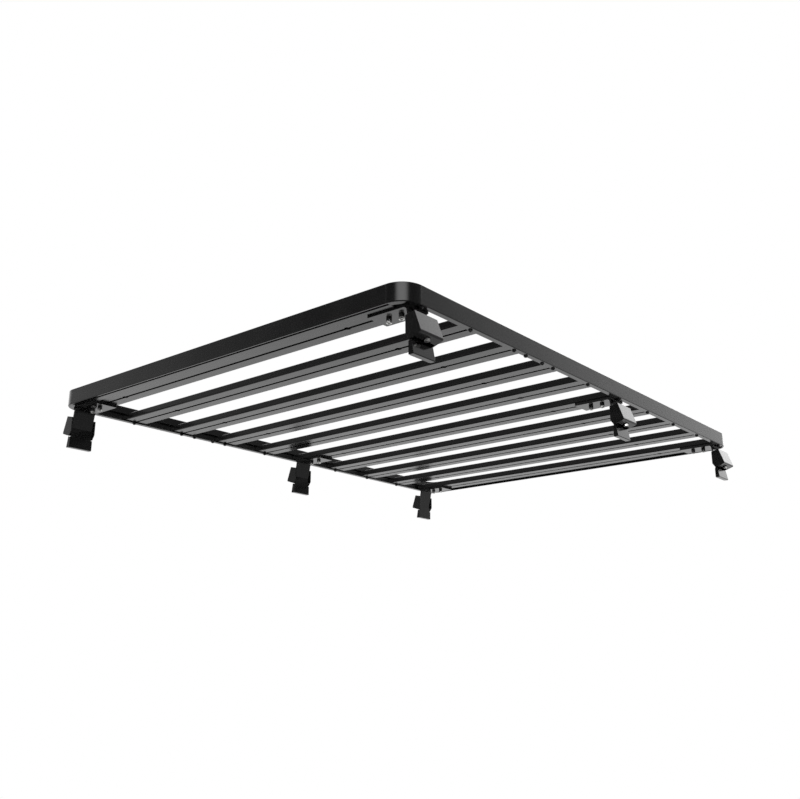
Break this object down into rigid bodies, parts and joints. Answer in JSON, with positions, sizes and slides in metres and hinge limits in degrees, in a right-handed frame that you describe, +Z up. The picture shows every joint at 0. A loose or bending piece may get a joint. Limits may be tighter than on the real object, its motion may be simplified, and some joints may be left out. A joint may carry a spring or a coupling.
{
  "type": "flat platform roof rack",
  "caption": "Low, flat vehicle roof platform: channel rails with rounded corners around wide slotted cross slats, on legs with folded clamps at both sides.",
  "frame": {"origin": "middle of the rack, level with the soles of the feet", "axes": "X across the rack along the slats, Y along the side rails, Z up"},
  "size_m": [1.4912, 1.964, 0.179],
  "materials": {
    "rail_coat": "satin black powder coat on extruded aluminium",
    "slat_coat": "satin black powder coat on extruded aluminium",
    "leg_coat": "black powder coat on aluminium",
    "clamp_coat": "black powder coat on folded plate",
    "bolt_steel": "zinc-plated steel",
    "bolt_black": "black oxide steel"
  },
  "bodies": {
    "root": {"clamp_front_left": "clamp_coat", "clamp_front_right": "clamp_coat", "clamp_middle_left": "clamp_coat", "clamp_middle_right": "clamp_coat", "clamp_rear_left": "clamp_coat", "clamp_rear_right": "clamp_coat", "corner_front_left": "rail_coat", "corner_front_right": "rail_coat", "corner_rear_left": "rail_coat", "corner_rear_right": "rail_coat", "end_rail_front": "rail_coat", "end_rail_rear": "rail_coat", "leg_front_left": "leg_coat", "leg_front_right": "leg_coat", "leg_middle_left": "leg_coat", "leg_middle_right": "leg_coat", "leg_rear_left": "leg_coat", "leg_rear_right": "leg_coat", "side_rail_left": "rail_coat", "side_rail_right": "rail_coat", "slat_01": "slat_coat", "slat_02": "slat_coat", "slat_03": "slat_coat", "slat_04": "slat_coat", "slat_05": "slat_coat", "slat_06": "slat_coat", "slat_07": "slat_coat", "slat_08": "slat_coat", "slat_09": "slat_coat", "slat_10": "slat_coat"}
  },
  "joints": []
}
